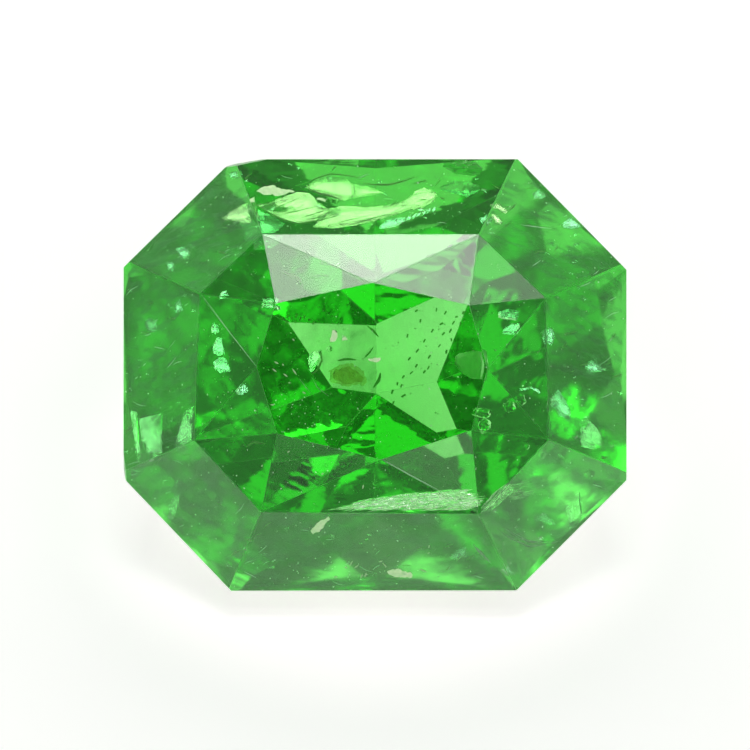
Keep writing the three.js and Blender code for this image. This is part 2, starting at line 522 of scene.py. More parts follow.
# Where along a prism its rings are, and how wide they are there. Every second corner lies nearer
# its axis by the last value.
PRISM_RINGS = ((0.0, 0.25), (0.12, 1.0), (0.88, 1.0), (1.0, 0.25))
PRISM_SIDES = 6
PRISM_FLATNESS = 0.6
# A thread bends about every so many pixels, and its ends have this share of its width.
THREAD_STEP, LEAST_BENDS, THREAD_SIDES, THREAD_END = 4, 3, 5, 0.3
# How uneven a lump is, and how many of its bumps there are to its radius.
LUMP_UNEVENNESS, LUMP_BUMPS = 0.35, 1.7


def finished(name, mesh, material):
    """Makes a mesh a piece that rides on the stone's body."""
    piece = in_scene("garnet_" + name, mesh)
    mesh.materials.clear()
    mesh.materials.append(material)
    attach(piece, "root")
    return piece


def closed_piece(name, shape, material):
    """Makes a bmesh a piece, with its faces turned outwards."""
    bmesh.ops.remove_doubles(shape, verts=shape.verts, dist=SAME_SPOT)
    bmesh.ops.dissolve_degenerate(shape, edges=shape.edges, dist=SAME_SPOT)
    bmesh.ops.recalc_face_normals(shape, faces=shape.faces)
    return finished(name, plain_mesh(shape, name), material)


def add_lump(shape, centre, sizes, seed):
    """A rounded lump with its three sizes along the stone's axes, its surface gently uneven."""
    turn = Matrix((ALONG, ACROSS, OUT)).transposed().to_4x4()
    made = bmesh.ops.create_icosphere(shape, subdivisions=2, radius=1.0)
    for vertex in made["verts"]:
        swell = 1 + LUMP_UNEVENNESS * noise.noise(vertex.co * LUMP_BUMPS + Vector((seed, 0, 0)))
        scaled = Vector(a * b for a, b in zip(vertex.co * swell, sizes))
        vertex.co = centre + turn @ scaled


def skin_rings(shape, rings):
    """Joins each ring of vertices to the next with faces, and closes both ends."""
    sides = len(rings[0])
    for low, high in zip(rings, rings[1:]):
        for i in range(sides):
            j = (i + 1) % sides
            shape.faces.new((low[i], low[j], high[j], high[i]))
    shape.faces.new(rings[0][::-1])
    shape.faces.new(rings[-1])


def add_prism(shape, start, end, width):
    """A crystal rod with pointed ends."""
    axis = (end - start).normalized()
    side = axis.orthogonal().normalized()
    other = axis.cross(side)
    rings = []
    for t, scale in PRISM_RINGS:
        middle = start.lerp(end, t)
        reach = width / 2 * scale
        ring = []
        for i in range(PRISM_SIDES):
            angle = 2 * math.pi * i / PRISM_SIDES
            flat = PRISM_FLATNESS if i % 2 else 1.0
            ring.append(shape.verts.new(
                middle + side * math.cos(angle) * reach + other * math.sin(angle) * reach * flat))
        rings.append(ring)
    skin_rings(shape, rings)


def shared_out(line, steps):
    """Points along a line of pixels, so many equal steps apart."""
    lengths = [0.0]
    for start, end in zip(line, line[1:]):
        lengths.append(lengths[-1] + math.dist(start, end))
    points = []
    for i in range(steps + 1):
        want = lengths[-1] * i / steps
        j = max(k for k in range(len(line) - 1) if lengths[k] <= want)
        share = (want - lengths[j]) / (lengths[j + 1] - lengths[j])
        points.append(Vector(line[j]).lerp(Vector(line[j + 1]), share))
    return points


def plate_grid(upper, lower, ragged, seed):
    """Rows of pixels between two edges, each with a random swell and whether it is on the rim."""
    noise.seed_set(NOISE_SEED)
    columns = max(LEAST_COLUMNS, round(math.dist(upper[0], upper[-1]) / PLATE_STEP))
    top, bottom = shared_out(upper, columns), shared_out(lower, columns)
    grid = []
    for row in range(PLATE_ROWS + 1):
        line = []
        for column in range(columns + 1):
            spot = top[column].lerp(bottom[column], row / PLATE_ROWS)
            wander = noise.noise_vector(Vector((spot.x / RIM_WAVE, spot.y / RIM_WAVE, seed)))
            on_rim = row in (0, PLATE_ROWS) or column in (0, columns)
            line.append((spot + wander.to_2d() * (ragged if on_rim else 0.0), wander.z, on_rim))
        grid.append(line)
    return grid


def add_closed_grid(shape, rows):
    """Closes a grid of front and back points, which are one and the same on the rim, with faces."""
    front, back = [], []
    for row in rows:
        front.append([shape.verts.new(near) for near, _ in row])
        back.append([vertex if near is far else shape.verts.new(far)
                     for vertex, (near, far) in zip(front[-1], row)])
    for grid, order in ((front, 1), (back, -1)):
        for above, below in zip(grid, grid[1:]):
            for i in range(len(above) - 1):
                corners = (above[i], above[i + 1], below[i + 1], below[i])
                shape.faces.new(corners[::order])


def add_crack(shape, upper, lower, depth, light="overhead", ripple=0.0015, ragged=1.0, seed=0):
    """A thin closed gap between two edges of pixels, turned so that it mirrors a light.

    depth is how many millimetres its middle lies behind the crown's surface.
    """
    grid = plate_grid(upper, lower, ragged, seed)
    spots = [spot for line in grid for spot, _, _ in line]
    middle = sum(spots, Vector((0, 0))) / len(spots)
    entry, inward, normal = look_inside(*middle)
    centre = entry + inward * depth * MM
    to_light = studio_place(*SOFTBOXES[light][:2])
    facing = -(inward + bent_inside(-to_light, normal)).normalized()
    rows = []
    for line in grid:
        row = []
        for spot, swell, on_rim in line:
            entry, inward, _ = look_inside(*spot)
            reach = (centre - entry).dot(facing) / inward.dot(facing) + ripple * swell * MM
            near = entry + inward * max(reach, LEAST_DEPTH * MM)
            row.append((near, near if on_rim else near + inward * GAP_THICKNESS * MM))
        rows.append(row)
    add_closed_grid(shape, rows)


def add_pit(shape, upper, lower, seed):
    """A shallow closed patch between two edges of pixels, flush with the crown's surface."""
    rows = []
    for line in plate_grid(upper, lower, PIT_RAGGED, seed):
        row = []
        for spot, swell, on_rim in line:
            entry, _, normal = look_inside(*spot)
            near = entry + normal * PIT_FLOOR * MM
            row.append((near, near) if on_rim else
                       (entry + normal * (PIT_RISE + PIT_SWELL * swell) * MM, near))
        rows.append(row)
    add_closed_grid(shape, rows)


def add_thread(shape, line, width, depth):
    """A thin rod that bends along a line of pixels, so many pixels wide and tapered to its ends."""
    steps = max(LEAST_BENDS, round(math.dist(line[0], line[-1]) / THREAD_STEP))
    places = [seen_inside(*spot, depth) for spot in shared_out(line, steps)]
    rings = []
    for i, place in enumerate(places):
        along = (places[min(i + 1, steps)] - places[max(i - 1, 0)]).normalized()
        side = along.cross(OUT).normalized()
        taper = min(1.0, THREAD_END + 2 * i / steps, THREAD_END + 2 - 2 * i / steps)
        reach = width / 2 * PIXEL * taper
        ring = []
        for k in range(THREAD_SIDES):
            turn = 2 * math.pi * k / THREAD_SIDES
            spoke = side * math.cos(turn) + side.cross(along) * math.sin(turn)
            ring.append(shape.verts.new(place + spoke * reach))
        rings.append(ring)
    skin_rings(shape, rings)


def sheet_mesh(name, outline, depth_mm, tilt_mm=0.0):
    """A flat sheet whose outline shows at these pixels, for scattering on."""
    shape = bmesh.new()
    top = min(py for _, py in outline)
    span = max(py for _, py in outline) - top
    shape.faces.new([
        shape.verts.new(seen_inside(px, py, depth_mm + tilt_mm * (py - top) / span))
        for px, py in outline])
    return plain_mesh(shape, name)


# Settings. Each takes its name, its description and its default.

def distance(name, description, default):
    return FloatProperty(name=name, description=description, default=default, min=0.0,
                         subtype="DISTANCE", unit="LENGTH")


def factor(name, description, default):
    return FloatProperty(name=name, description=description, default=default, min=0.0, max=1.0,
                         subtype="FACTOR")


def strength(name, description, default):
    return FloatProperty(name=name, description=description, default=default, min=0.0)


def amount(name, description, default):
    return IntProperty(name=name, description=description, default=default, min=0)


def colour(name, description, default):
    return FloatVectorProperty(name=name, description=description, default=default, size=3,
                               min=0.0, max=1.0, subtype="COLOR")


class StoneSettings(PropertyGroup):
    edge_width: distance(
        "Edge wear", "Width of the worn strip along each facet junction", 0.010 * MM)
    edge_dullness: factor("Edge dullness", "Roughness of the worn strips", 0.3)
    girdle_dullness: factor("Girdle dullness", "Roughness of the ground girdle", 0.35)
    main_dullness: factor("Crown dullness", "Roughness of the worn crown mains", 0.15)
    star_dullness: factor("Star dullness", "Roughness of the worn star facets", 0.04)
    polish: factor("Polish", "Roughness of the polished facets", 0.03)
    wave_size: distance("Wave size", "How far apart the waves are that the lap left", 0.3 * MM)
    wave_height: distance("Wave height", "How high the waves are that the lap left", 0.006 * MM)
    ior: FloatProperty(
        name="Refractive index", description="Refractive index of the garnet",
        default=GARNET_IOR, min=1.0, max=3.0)
    absorption: FloatVectorProperty(
        name="Absorption", description="Share of red, green and blue lost per metre of path",
        default=(520.0, 79.0, 560.0), size=3, min=0.0)


class InclusionSettings(PropertyGroup):
    speck_count: amount("Specks", "How many pale specks are scattered before thinning", 5200)
    speck_size: distance("Speck size", "Radius of the largest specks", 0.011 * MM)
    haze_count: amount("Haze", "How many fine haze specks are scattered before thinning", 6000)
    haze_size: distance("Haze size", "Radius of the largest haze specks", 0.005 * MM)
    fleck_count: amount("Flecks", "How many bright flecks lie under the crown's mains", 110)
    veil_depth: distance("Veil depth", "How far the veils lie under the crown", 0.12 * MM)
    seed: IntProperty(name="Seed", description="Start of every random choice", default=5)


class StageSettings(PropertyGroup):
    floor_colour: colour(
        "Floor colour", "Colour of the card that the stone lies on", hex_colour("d9dad9")[:3])
    floor_size: distance("Floor size", "Side of the card", 1.2)
    floor_gap: distance(
        "Floor gap", "How far the card lies under the stone's rest facet", 0.02 * MM)
    floor_glow: strength(
        "Floor glow", "Radiance of the light that comes through the card", 0.32)
    # A painted pool of pinkish light round and under the stone, on top of the card's even glow.
    painted_pool_glow: strength("Painted pool glow", "The same under the stone, as a painted pool of light", 0.85)
    painted_pool_colour: colour("Painted pool colour", "Colour of the painted pool of light under the stone", (0.92, 0.79, 0.86))
    painted_pool_reach: FloatVectorProperty(
        name="Painted pool reach", description="How far from the stone the painted pool of light fades, and ends",
        default=(1.5 * MM, 4.2 * MM), size=2, min=0.0, unit="LENGTH")


# Lights and dark cards stand on a sphere round the stone: where they are as an azimuth from the
# lens side and an elevation, and how wide and high they look, all in degrees. The last value of
# a light is its radiance.
STUDIO_RADIUS = 0.3
LIGHT_COLOUR = (1.0, 1.0, 0.96)
SOFTBOXES = {
    "overhead": (180, 85, 20, 13, 8.0),
    "high_left": (-27.5, 75.5, 9, 9, 4.6),
    "high_right": (28.0, 75.0, 9, 9, 4.2),
    "back_left": (136, 21, 46, 32, 1.35),
    "back": (180, 21, 46, 32, 1.35),
    "back_right": (224, 21, 46, 32, 1.35),
    "back_high_left": (150, 47, 22, 22, 0.9),
    "back_high_right": (210, 47, 22, 22, 0.9),
    "side_right": (55, 60, 18, 16, 1.6),
    "lens_ring": (0, 46, 20, 15, 0.9),
    "front_right": (22, 47, 9, 16, 1.3),
    "front_left": (-24, 42, 9, 18, 1.1),
    "front_slit": (-16, 28, 8, 17, 0.85),
    "low_front": (3, 23, 22, 8, 0.7),
    "low_left": (-60, 20, 20, 12, 1.3),
    "low_right": (60, 33, 16, 14, 1.4),
}
# The last value of a card is its grey. Cards stand a little nearer than the lights.
CARD_RADIUS = STUDIO_RADIUS - 0.005
CARDS = {
    "lens_card": (0, 46, 5.5, 5.5, "484848"),
    "back_card": (180, 60, 26, 16, "909090"),
    "left_card": (-62, 58, 16, 16, "808080"),
    "right_card": (85, 24, 26, 10, "808080"),
}

# The room is darker round a direction above the lens, from the first angle to the second.
ROOM_COLOUR = (0.50, 0.50, 0.49, 1)
ROOM_SHADE = (0.28, 0.29, 0.29, 1)
SHADE_PLACE = (0, 35)
SHADE_ANGLES = (75, 35)


def studio_place(azimuth, elevation):
    """The direction from the stone, azimuth 0 towards the lens and 90 along +X."""
    a, e = math.radians(azimuth), math.radians(elevation)
    return Vector((math.sin(a) * math.cos(e), -math.cos(a) * math.cos(e), math.sin(e)))


def studio_size(degrees):
    return 2 * STUDIO_RADIUS * math.tan(math.radians(degrees / 2))


def put_in_studio(name, data, radius, azimuth, elevation):
    """A light or a card that faces the stone, and that no camera sees."""
    thing = in_scene(name, data)
    towards = studio_place(azimuth, elevation)
    thing.location = MIDDLE + towards * radius
    thing.rotation_euler = towards.to_track_quat("Z", "Y").to_euler()
    thing.visible_camera = False
    return thing


def add_softbox(name, azimuth, elevation, wide, high, radiance):
    """A rectangular light, so bright that its face has this radiance."""
    light = bpy.data.lights.new(name, "AREA")
    light.shape = "RECTANGLE"
    light.size = studio_size(wide)
    light.size_y = studio_size(high)
    light.energy = radiance * math.pi * light.size * light.size_y
    light.color = LIGHT_COLOUR
    put_in_studio(name, light, STUDIO_RADIUS, azimuth, elevation)


def add_card(name, azimuth, elevation, wide, high, code):
    """A grey card, which the floor and the stone see."""
    shape = bmesh.new()
    bmesh.ops.create_grid(shape, x_segments=1, y_segments=1, size=0.5)
    bmesh.ops.scale(shape, verts=shape.verts, vec=(studio_size(wide), studio_size(high), 1))
    mesh = plain_mesh(shape, name)
    mesh.materials.append(grey_card(code))
    piece = put_in_studio(name, mesh, CARD_RADIUS, azimuth, elevation)


def add_floor(settings):
    """The card that the stone lies on."""
    shape = bmesh.new()
    bmesh.ops.create_grid(shape, x_segments=1, y_segments=1, size=settings.floor_size / 2)
    bmesh.ops.translate(shape, verts=shape.verts, vec=(0, 0, -settings.floor_gap))
    mesh = plain_mesh(shape, "floor")
    floor = in_scene("floor_card", mesh)
    mesh.materials.append(matt_floor(settings))


def add_room(scene):
    """The pale light that comes from everywhere."""
    scene.world = bpy.data.worlds.new("pale_room")
    tree = empty_tree(scene.world)
    place = add_node(tree, "ShaderNodeTexCoord", {})
    facing = add_node(tree, "ShaderNodeVectorMath", {
        "operation": "DOT_PRODUCT", 0: place.outputs["Generated"],
        1: studio_place(*SHADE_PLACE)})
    low, high = (math.cos(math.radians(angle)) for angle in SHADE_ANGLES)
    shade = add_node(tree, "ShaderNodeMapRange", {
        "interpolation_type": "SMOOTHSTEP", "From Min": low, "From Max": high,
        "Value": facing.outputs["Value"]})
    level = add_node(tree, "ShaderNodeMix", {
        "data_type": "RGBA", 6: ROOM_COLOUR, 7: ROOM_SHADE, 0: shade.outputs[0]})
    sky = add_node(tree, "ShaderNodeBackground", {"Strength": 1.0, "Color": level.outputs[2]})
    add_node(tree, "ShaderNodeOutputWorld", {"Surface": sky.outputs[0]})


def add_camera(scene):
    """A long lens that looks straight at the table, as in the picture."""
    lens = bpy.data.cameras.new("camera")
    lens.lens = LENS_LENGTH_MM
    lens.sensor_width = SENSOR_MM
    lens.clip_start = 0.01
    scene.camera = in_scene("camera", lens)
    scene.camera.location = LENS
    scene.camera.rotation_euler = OUT.to_track_quat("Z", "Y").to_euler()


# What lies inside the stone, by where the picture shows it. A crack is an upper edge, a lower
# edge and a depth in millimetres behind the crown's surface, and it may name the light that it
# mirrors. Where it has layers, they lie this far apart.
LAYER_STEP = 0.05
FEATHER = {
    "crescent": (((314, 226), (326, 209), (345, 205), (365, 206), (385, 205), (398, 203),
        (408, 197), (416, 190), (426, 187), (436, 191)),
        ((314, 227), (335, 228), (355, 225), (375, 220), (395, 214), (410, 209), (424, 207),
        (433, 201), (437, 196)), 0.62),
    "wing": (((258, 204), (272, 201), (284, 196), (298, 191), (310, 193), (318, 200), (328, 207)),
        ((258, 205), (270, 212), (282, 219), (298, 222), (318, 219), (328, 212)), 0.55),
    "wing_end": (((224, 217), (234, 209), (248, 202)), ((225, 219), (236, 221), (252, 222)), 0.4),
    "lens": (((307, 186), (318, 178), (330, 175), (345, 177), (354, 184)),
        ((308, 188), (320, 192), (335, 198), (345, 200), (354, 197)), 0.75),
    "lens_end": (((355, 184), (368, 186), (383, 191)), ((355, 197), (368, 195), (383, 192)), 0.8),
    "rod_one": (((493, 204), (499, 203), (508, 210)), ((494, 207), (500, 209), (507, 213)), 0.1),
    "rod_two": (((492, 214), (497, 213), (503, 221)), ((493, 218), (498, 223), (502, 224)), 0.1),
}
GLINTS = {
    "ladder_foot": (((380, 226), (388, 219), (398, 217), (406, 217)),
        ((380, 228), (392, 227), (401, 223), (406, 220)), 0.3),
    "rod_three": (((481, 219), (487, 214)), ((482, 223), (488, 219)), 0.3),
    "right_curve": (((521, 388), (531, 385), (540, 389)),
        ((521, 390), (531, 388), (540, 393)), 0.1),
    "left_shard": (((236, 391), (244, 381), (248, 386)), ((238, 394), (243, 394), (248, 391)), 0.2),
    "left_main": (((146, 320), (150, 316), (156, 320)), ((147, 328), (152, 332), (157, 330)), 0.5),
    "left_upper": (((177, 248), (184, 246), (190, 250)), ((178, 252), (184, 258), (190, 256)), 0.4),
    "mint_low": (((214, 362), (219, 356), (226, 357), (232, 369)),
        ((215, 368), (221, 372), (231, 371)), 0.6),
    "mint_middle": (((213, 347), (217, 336), (222, 336), (225, 350)),
        ((214, 353), (220, 355), (226, 354)), 0.65),
    "mint_high": (((211, 328), (214, 322), (219, 324)), ((212, 332), (216, 334), (220, 331)), 0.7),
    "left_high_square": (((231, 171), (238, 172)), ((231, 176), (238, 177)), 0.2),
    "left_glow_one": (((168, 262), (174, 261)), ((168, 269), (174, 270)), 0.3),
    "left_glow_two": (((175, 302), (181, 298)), ((176, 312), (183, 310)), 0.3),
    "mint_star": (((220, 293), (227, 289)), ((220, 296), (229, 295)), 0.4),
    "star_glow": (((262, 303), (270, 300), (276, 301)), ((263, 306), (270, 308), (276, 306)), 0.8),
    "right_mint_top": (((498, 312), (508, 308), (521, 310)),
        ((499, 317), (509, 319), (518, 320)), 0.6),
    "right_mint_low": (((503, 330), (512, 322), (521, 323)),
        ((503, 333), (511, 334), (518, 333)), 0.6),
    "right_main_high": (((547, 330), (551, 327), (555, 332)),
        ((548, 343), (552, 345), (554, 341)), 0.3),
    "right_main_middle": (((586, 366), (591, 359), (601, 364)),
        ((587, 371), (593, 374), (602, 370)), 0.25),
    "right_main_low": (((552, 398), (559, 388), (566, 400), (571, 410)),
        ((551, 404), (560, 415), (571, 420)), 0.25),
    "corner_patch": (((533, 193), (540, 189), (546, 192)),
        ((534, 197), (541, 198), (546, 196)), 0.3),
    "corner_triangle": (((564, 222), (571, 215), (580, 224)),
        ((564, 227), (572, 228), (580, 226)), 0.12),
    "low_mint": (((450, 556), (458, 549), (467, 546)),
        ((451, 558), (460, 559), (467, 555)), 0.3, "high_right"),
    "low_triangle": (((537, 516), (545, 511), (551, 517), (556, 524)),
        ((537, 520), (546, 523), (556, 525)), 0.4, "high_right"),
    "low_small": (((501, 568), (508, 566), (516, 573)),
        ((502, 571), (509, 573), (516, 574)), 0.2, "high_right"),
    "glow": (((440, 186), (455, 180), (470, 181), (480, 185)),
        ((440, 188), (455, 193), (468, 196), (480, 190)), 1.1),
    "pocket": (((258, 209), (268, 213), (278, 218), (285, 223)),
        ((258, 230), (263, 233), (275, 232), (285, 225)), 1.0),
}
# Small cracks that climb away from the glints' first one like the rungs of a ladder: the first
# rung, and the step in pixels from each to the next.
RUNG = (((408, 216), (412, 214)), ((407, 220), (411, 218)), 0.2)
RUNG_STEP = (5, -1.7)
RUNGS = 6
BARS = {
    "leaf": (((308, 357), (313, 351), (322, 349)), ((311, 372), (315, 369), (321, 356)), 0.2),
    "left_bar": (((140, 418), (152, 415), (163, 412)), ((141, 466), (150, 463), (162, 452)), 0.08),
    "left_blade": (((131, 410), (137, 411)), ((138, 466), (142, 466)), 0.08),
    "left_bar_two": (((179, 428), (186, 410), (194, 405)),
        ((175, 448), (184, 446), (192, 444)), 0.08),
    "left_corner_bar": (((170, 503), (176, 493), (182, 492)),
        ((168, 518), (173, 519), (178, 510)), 0.08),
    "right_bar": (((580, 420), (588, 418), (602, 432)), ((582, 446), (592, 449), (603, 446)), 0.08),
    "right_low_bar": (((566, 505), (574, 496), (580, 490)),
        ((570, 528), (578, 526), (583, 515)), 0.08, "high_right"),
}
OLIVE_PLATE = (((455, 356), (462, 352), (473, 350), (487, 351)),
               ((456, 364), (462, 373), (472, 378), (483, 379)), 0.5)
STAINS = {
    "stain": (((330, 370), (336, 366), (343, 364), (352, 363), (360, 367), (366, 374)),
        ((330, 380), (337, 383), (345, 385), (356, 385), (363, 385), (367, 382)), 0.7),
    "stain_middle": (((333, 373), (337, 369), (343, 367), (350, 366), (357, 370), (362, 375)),
        ((333, 378), (338, 380), (345, 382), (353, 382), (359, 382), (363, 380)), 0.75),
}
LONG_CRYSTAL = (((481, 507), (496, 490), (509, 482), (514, 486)),
                ((482, 511), (492, 510), (506, 498), (514, 490)), 0.06)
# A pit is an upper and a lower edge. The middle glint is a painted highlight in the same powder.
PITS = {
    "feather_tip": (((258, 189), (266, 185), (272, 184), (280, 188), (288, 189), (295, 190)),
        ((258, 191), (264, 194), (272, 194), (279, 196), (287, 193), (295, 191))),
    "feather_fleck": (((250, 198), (255, 197)), ((250, 201), (255, 202))),
    "feather_bits": (((318, 197), (327, 199)), ((318, 199), (326, 202))),
    "shard_one": (((330, 338), (334, 329), (338, 330)), ((331, 341), (335, 341), (338, 337))),
    "shard_two": (((343, 338), (347, 335)), ((343, 340), (348, 339))),
    # A painted highlight: a glint drawn in pale powder on the crown.
    "middle_painted_highlight": (((368, 358), (374, 357), (381, 358)), ((368, 359), (374, 361), (381, 360))),
    "cream_rod": (((312, 530), (318, 523), (328, 516)), ((313, 533), (320, 531), (330, 519))),
    "cream_patch": (((388, 570), (398, 568), (413, 573)), ((389, 574), (400, 576), (413, 577))),
}
# A thread is a line, a width in pixels and a depth in millimetres. What lies on the crown, and
# not under it, has a depth below zero.
ON_CROWN = -0.002
DASH_DEPTH = -0.003
# The two star edges are painted highlights, pale lines on the crown for light caught by facet
# junctions; the other lines are pale marks in and on the stone.
PALE_THREADS = {
    "left_star_edge_painted_highlight": (((202, 294), (229, 330), (257, 366)), 0.7, ON_CROWN),
    "low_star_edge_painted_highlight": (((385, 460), (412, 475), (438, 489)), 1.0, ON_CROWN),
    "swirl_one": (((497, 528), (512, 538), (530, 546), (548, 543), (558, 541)), 1.1, 0.1),
    "swirl_two": (((506, 528), (520, 538), (536, 542), (552, 540)), 0.9, 0.1),
    "swirl_three": (((513, 531), (528, 540), (544, 541)), 0.8, 0.1),
    "streak": (((473, 543), (482, 553), (492, 563)), 2.2, 0.12),
    "corner_line": (((521, 224), (535, 226), (552, 228)), 1.0, ON_CROWN),
    "scratch_one": (((300, 378), (305, 385), (312, 393)), 0.8, 0.05),
    "scratch_two": (((312, 376), (318, 387), (330, 396)), 0.8, 0.05),
}
# The rims and crack lines of the feather, crescent and leaf are painted shade; the rest are dark
# threads in the stone.
DARK_THREADS = {
    "wing_rim": (((252, 199), (258, 205), (270, 212), (284, 219), (300, 223), (318, 220),
        (338, 215)), 1.8, 0.05),
    "wing_crack_one": (((284, 214), (302, 209), (316, 206)), 1.2, 0.05),
    "wing_crack_two": (((300, 218), (314, 213), (332, 208)), 1.2, 0.05),
    "wing_crack_three": (((306, 219), (318, 217), (330, 214)), 1.0, 0.05),
    "lens_low_rim": (((310, 188), (320, 193), (330, 195), (340, 198)), 3.0, 0.05),
    "lens_high_rim": (((296, 185), (308, 182), (318, 177), (332, 173), (350, 175), (364, 178)), 1.6,
        0.08),
    "lens_end_rim": (((361, 182), (375, 184), (390, 184), (405, 180), (416, 176)), 2.2, 0.08),
    "crescent_crack_one": (((330, 224), (350, 219), (372, 214)), 1.0, 0.05),
    "crescent_crack_two": (((345, 226), (362, 221), (384, 214)), 1.2, 0.05),
    "crescent_crack_three": (((318, 222), (332, 214), (346, 210)), 0.9, 0.05),
    "crescent_crack_four": (((392, 212), (405, 205), (414, 199)), 1.0, 0.05),
    "wing_crack_four": (((272, 208), (286, 203), (300, 197)), 0.9, 0.05),
    "wing_crack_five": (((280, 214), (292, 211), (306, 203)), 0.8, 0.05),
    "crescent_dash_one": (((420, 199), (427, 199)), 2.0, 0.04),
    "crescent_dash_two": (((397, 205), (415, 204)), 1.2, 0.04),
    "leaf_side": (((321, 349), (323, 361)), 1.8, 0.2),
    "leaf_foot": (((312, 374), (318, 369), (323, 358)), 2.4, 0.2),
    "window_rod_one": (((368, 325), (375, 331), (379, 336)), 2.6, 1.0),
    "window_rod_two": (((374, 346), (370, 352), (365, 357)), 2.2, 1.0),
    "window_rod_three": (((381, 372), (380, 379), (374, 387)), 3.6, 1.0),
    "star_notch": (((284, 272), (289, 275), (295, 274), (302, 283)), 3.0, 0.12),
    "star_mark_one": (((318, 262), (331, 264), (342, 268)), 1.2, 0.1),
    "star_mark_two": (((312, 277), (322, 274), (330, 276)), 1.4, 0.1),
    "low_star_mark": (((247, 446), (254, 441), (266, 443)), 3.0, 0.3),
    "middle_dash": (((338, 360), (347, 358), (357, 359)), 2.6, 0.8),
}
DASHES = (
    ((350, 565), (353, 560)), ((345, 566), (348, 567)), ((355, 567), (359, 564)), ((361, 577),
    (363, 573)), ((365, 576), (367, 572)), ((334, 576), (338, 576)), ((379, 561), (383, 560)),
    ((383, 562), (387, 566)), ((420, 568), (427, 571)), ((293, 368), (297, 374)), ((284, 373),
    (288, 376)), ((273, 368), (277, 371)), ((275, 361), (279, 363)), ((283, 363), (284, 365)),
    ((293, 338), (295, 340)), ((289, 382), (291, 382)), ((303, 391), (306, 393)), ((271, 404),
    (275, 404)), ((429, 547), (430, 544)), ((428, 553), (430, 551)), ((363, 488), (364, 484)),
    ((322, 474), (324, 472)), ((288, 452), (290, 450)), ((262, 466), (263, 464)))
# A rounded crystal is its middle, its width and its height, all in pixels.
LUMPS = (
    (484, 412, 8.5, 5.5), (485, 424, 7.0, 7.0), (510, 406, 6.0, 6.0), (521, 399, 5.5, 6.5),
    (543, 454, 4.0, 4.5), (336, 200, 4.0, 4.5), (527, 446, 3.0, 3.0), (603, 446, 3.5, 4.5),
    (590, 473, 6.0, 5.0), (330, 348, 3.5, 3.0))
LUMP_DEPTH = 0.3
NEEDLES = (
    (417, 310), (421, 320), (442, 323), (451, 330), (457, 316), (464, 312), (452, 339), (418, 350),
    (417, 365), (429, 367), (425, 371), (412, 372), (404, 376), (402, 385), (393, 391), (404, 395),
    (394, 402), (430, 356), (446, 312), (433, 330), (440, 345), (461, 323), (447, 351), (410, 358),
    (398, 383), (408, 335), (437, 309), (444, 333), (454, 322), (425, 340), (283, 318), (288, 316),
    (292, 318), (297, 315), (301, 318), (305, 316), (310, 319), (287, 322), (296, 321), (314, 322))
# Half a needle, in pixels, and the limits of what differs from needle to needle: its depth in
# millimetres, its share of that half, its turn in radians and its width in pixels.
NEEDLE_HALF = (1.2, -2.0)
NEEDLE_DEPTHS, NEEDLE_SHARES = (0.5, 1.2), (0.3, 1.3)
NEEDLE_TURNS, NEEDLE_WIDTHS = (-1.2, 1.2), (0.8, 3.2)
# How much deeper the far end of a needle lies.
NEEDLE_TILT = 0.03
# Rods are scattered over these patches.
DUSTY_PATCH = (
    (272, 396), (300, 388), (334, 412), (345, 436), (330, 452), (278, 436))
DUSTY_EDGE = (
    (262, 556), (330, 560), (400, 562), (400, 580), (300, 580))
FISSURE_PATCH = (
    (338, 508), (366, 499), (400, 494), (432, 492), (462, 489), (478, 500), (470, 509))
FISSURE_END_PATCH = (
    (512, 484), (530, 478), (547, 477), (546, 486), (528, 496), (512, 500))
# The fibres of the healed crack lie along this line.
FISSURE_LINE = ((345, 506), (425, 494))
# A mark on a main is turned by an angle between these two, in radians, and its middle is moved
# aside by up to this share of half its length. It stays so many pixels inside the main.
MARK_TURN = (-0.9, 0.5)
MARK_BEND = 0.3
MARK_MARGIN = Vector((0, 4))
# The shortest and the longest fleck, in pixels.
FLECK_LENGTHS = (2, 6)
# A veil covers this share of its main's width and is so thick, in millimetres.
VEIL_SHARE, VEIL_THICKNESS = 0.95, 0.004
# How much of the lap's waves a facet has: few beside the window and over the feather.
WAVES_CALM, WAVES_BELOW, WAVES_ON_MAINS = 0.25, 0.55, 0.6


def on_main(px, py):
    """Whether the picture shows a crown main at a pixel."""
    entry, _, normal = look_inside(px, py)
    on_stone = all(plane.dot(entry) < offset + 0.001 * MM for plane, offset in PLANES)
    return on_stone and is_main(normal)


def marks_on_mains(count, lengths, seed):
    """Short bent lines of pixels anywhere on the crown's mains, each with a random share."""
    dice = random.Random(seed)
    marks = []
    while len(marks) < count:
        middle = Vector((dice.uniform(*MAIN_COLUMNS), dice.uniform(*MAIN_ROWS)))
        half = Vector((dice.uniform(*lengths) / 2, 0))
        half.rotate(Matrix.Rotation(dice.uniform(*MARK_TURN), 2))
        bend = half.orthogonal() * dice.uniform(-MARK_BEND, MARK_BEND)
        share = dice.random()
        start, end = middle - half, middle + half
        spots = (start, end, middle - MARK_MARGIN, middle, middle + MARK_MARGIN)
        if all(on_main(*spot) for spot in spots):
            marks.append((start, middle + bend, end, share))
    return marks


def steady_noise(spot, low, high):
    """A value between two others that depends on the place alone."""
    return low + (high - low) * (0.5 + 0.5 * noise.noise(Vector((*spot, 0.0)) / 7.3))


def ladder_rung(count):
    """The crack that lies so many steps up the ladder."""
    *edges, depth = RUNG
    upper, lower = (
        [(x + RUNG_STEP[0] * count, y + RUNG_STEP[1] * count) for x, y in edge] for edge in edges)
    return upper, lower, depth


